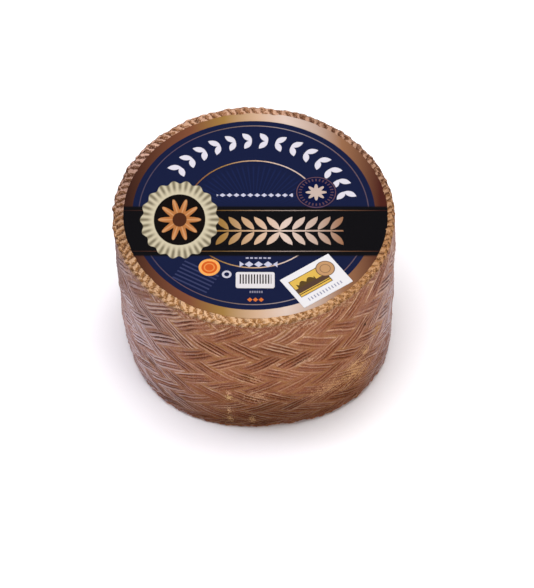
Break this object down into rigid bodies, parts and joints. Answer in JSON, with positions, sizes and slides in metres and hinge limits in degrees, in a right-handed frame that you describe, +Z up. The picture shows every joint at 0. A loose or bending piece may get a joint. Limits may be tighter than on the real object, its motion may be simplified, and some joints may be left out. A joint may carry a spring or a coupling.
{
  "type": "manchego cheese wheel",
  "caption": "Whole pressed hard-cheese wheel with a plaited-grass imprint on its side, a round label on top and a small control sticker.",
  "frame": {"origin": "middle of the wheel's bounding box on its flat lower face", "axes": "+Z up along the wheel's axis, front towards -Y"},
  "size_m": [0.1878, 0.1876, 0.1167],
  "materials": {
    "rind": "waxy brown pressed rind with a satin coat",
    "label_paper": "glossy printed paper with foil details",
    "sticker_paper": "satin printed paper"
  },
  "bodies": {
    "root": {"cheese_wheel": "rind", "top_label": "label_paper", "control_sticker": "sticker_paper"}
  },
  "joints": []
}
